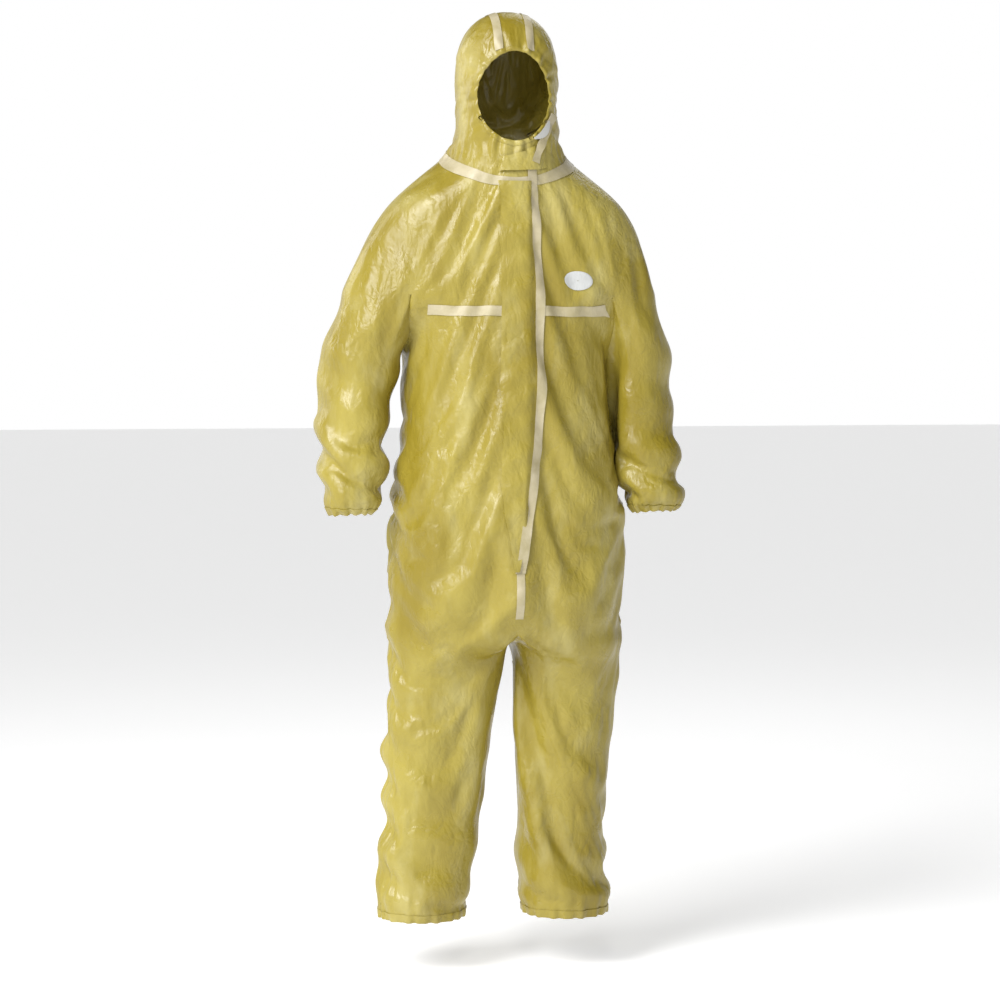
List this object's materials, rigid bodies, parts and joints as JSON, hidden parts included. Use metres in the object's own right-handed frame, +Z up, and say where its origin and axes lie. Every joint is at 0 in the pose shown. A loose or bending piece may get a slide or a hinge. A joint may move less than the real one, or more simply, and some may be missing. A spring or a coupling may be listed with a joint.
{
  "type": "chemical protective suit",
  "caption": "Hooded protective coverall of yellow film laminate with taped seams, a zip front under a storm flap, and elasticated cuffs, ankles, waist and face opening.",
  "frame": {"origin": "between the wearer's shoulders, 1.5 m above the floor that the wearer stands on, on the line between the armholes' front and back", "axes": "+Z up, -Y the way the suit faces, +X the wearer's left"},
  "size_m": [0.704, 0.3376, 1.7645],
  "materials": {
    "laminate": "semi-gloss yellow film laminated to a pale nonwoven",
    "tape": "cream heat-sealed tape",
    "elastic": "white covered elastic",
    "adhesive": "release paper over double-sided tape",
    "zip_fabric": "woven yellow zip tape",
    "zip_plastic": "yellow coil teeth",
    "zip_metal": "satin die-cast",
    "label": "plain white transfer patch"
  },
  "bodies": {
    "suit_body": {"back_centre_tape": "tape", "back_panel_left": "laminate", "back_panel_right": "laminate", "back_yoke": "laminate", "back_yoke_tape": "tape", "chest_label": "label", "chest_tape_left": "tape", "chest_tape_right": "tape", "crotch_tape": "tape", "flap_seam_tape": "tape", "front_panel_left": "laminate", "front_panel_right": "laminate", "front_yoke_left": "laminate", "front_yoke_right": "laminate", "hip_fold_left": "laminate", "hip_fold_right": "laminate", "neck_fold": "laminate", "neck_tape": "tape", "shoulder_fold_left": "laminate", "shoulder_fold_right": "laminate", "waist_elastic": "elastic", "zip_bottom_stop": "zip_metal", "zip_tape_left": "zip_fabric", "zip_tape_right": "zip_fabric", "zip_teeth_left": "zip_plastic", "zip_teeth_right": "zip_plastic", "zip_top_stop_left": "zip_metal", "zip_top_stop_right": "zip_metal"},
    "hood": {"face_elastic": "elastic", "hood_centre_panel": "laminate", "hood_side_left": "laminate", "hood_side_right": "laminate", "hood_tape_left": "tape", "hood_tape_right": "tape"},
    "storm_flap": {"storm_flap": "laminate", "flap_adhesive": "adhesive"},
    "chin_flap": {"chin_flap": "laminate", "chin_adhesive": "adhesive"},
    "zip_slider": {"zip_slider": "zip_metal"},
    "zip_pull": {"zip_pull": "zip_metal"},
    "upper_sleeve_right": {"upper_sleeve_right": "laminate", "elbow_fold_right": "laminate"},
    "forearm_right": {"forearm_sleeve_right": "laminate", "cuff_elastic_right": "elastic"},
    "thigh_right": {"thigh_right": "laminate", "knee_fold_right": "laminate"},
    "shin_right": {"shin_right": "laminate", "ankle_elastic_right": "elastic", "inseam_tape_right": "tape"},
    "upper_sleeve_left": {"upper_sleeve_left": "laminate", "elbow_fold_left": "laminate"},
    "forearm_left": {"forearm_sleeve_left": "laminate", "cuff_elastic_left": "elastic"},
    "thigh_left": {"thigh_left": "laminate", "knee_fold_left": "laminate"},
    "shin_left": {"shin_left": "laminate", "ankle_elastic_left": "elastic", "inseam_tape_left": "tape"}
  },
  "joints": [
    {"name": "shoulder_right", "type": "hinge", "parent": "suit_body", "child": "upper_sleeve_right", "pos_m": [-0.195, 0, -0.07], "axis": [0, 1, 0], "range_deg": [0, 60], "deforming": ["shoulder_fold_right"]},
    {"name": "elbow_right", "type": "hinge", "parent": "upper_sleeve_right", "child": "forearm_right", "pos_m": [-0.2785, 0.01, -0.38], "axis": [-1, 0, 0], "range_deg": [0, 75], "deforming": ["elbow_fold_right"]},
    {"name": "hip_right", "type": "hinge", "parent": "suit_body", "child": "thigh_right", "pos_m": [-0.117, 0, -0.8], "axis": [-1, 0, 0], "range_deg": [-15, 60], "deforming": ["hip_fold_right"]},
    {"name": "knee_right", "type": "hinge", "parent": "thigh_right", "child": "shin_right", "pos_m": [-0.12751, 0, -1], "axis": [1, 0, 0], "range_deg": [0, 70], "deforming": ["knee_fold_right"]},
    {"name": "shoulder_left", "type": "hinge", "parent": "suit_body", "child": "upper_sleeve_left", "pos_m": [0.195, 0, -0.07], "axis": [0, -1, 0], "range_deg": [0, 60], "deforming": ["shoulder_fold_left"]},
    {"name": "elbow_left", "type": "hinge", "parent": "upper_sleeve_left", "child": "forearm_left", "pos_m": [0.2785, 0.01, -0.38], "axis": [-1, 0, 0], "range_deg": [0, 75], "deforming": ["elbow_fold_left"]},
    {"name": "hip_left", "type": "hinge", "parent": "suit_body", "child": "thigh_left", "pos_m": [0.117, 0, -0.8], "axis": [-1, 0, 0], "range_deg": [-15, 60], "deforming": ["hip_fold_left"]},
    {"name": "knee_left", "type": "hinge", "parent": "thigh_left", "child": "shin_left", "pos_m": [0.11817, 0, -1], "axis": [1, 0, 0], "range_deg": [0, 70], "deforming": ["knee_fold_left"]},
    {"name": "neck", "type": "hinge", "parent": "suit_body", "child": "hood", "pos_m": [0, 0, 0.1], "axis": [1, 0, 0], "range_deg": [-20, 20], "deforming": ["neck_fold"]},
    {"name": "storm_flap", "type": "hinge", "parent": "suit_body", "child": "storm_flap", "pos_m": [0.014, -0.17455, -0.69982], "axis": [0.0221, 0.0701, 0.9973], "range_deg": [0, 130]},
    {"name": "chin_flap", "type": "hinge", "parent": "hood", "child": "chin_flap", "pos_m": [0.04013, -0.10974, 0.11223], "axis": [-0.0229, 0.0391, 0.999], "range_deg": [0, 95]},
    {"name": "zip_slide", "type": "slide", "parent": "suit_body", "child": "zip_slider", "axis": [0, 0.0701, 0.9975], "range_m": [-0.6985, 0]},
    {"name": "zip_pull", "type": "hinge", "parent": "zip_slider", "child": "zip_pull", "pos_m": [0, -0.12543, 0.01177], "axis": [-1, 0, 0], "range_deg": [0, 3]}
  ]
}
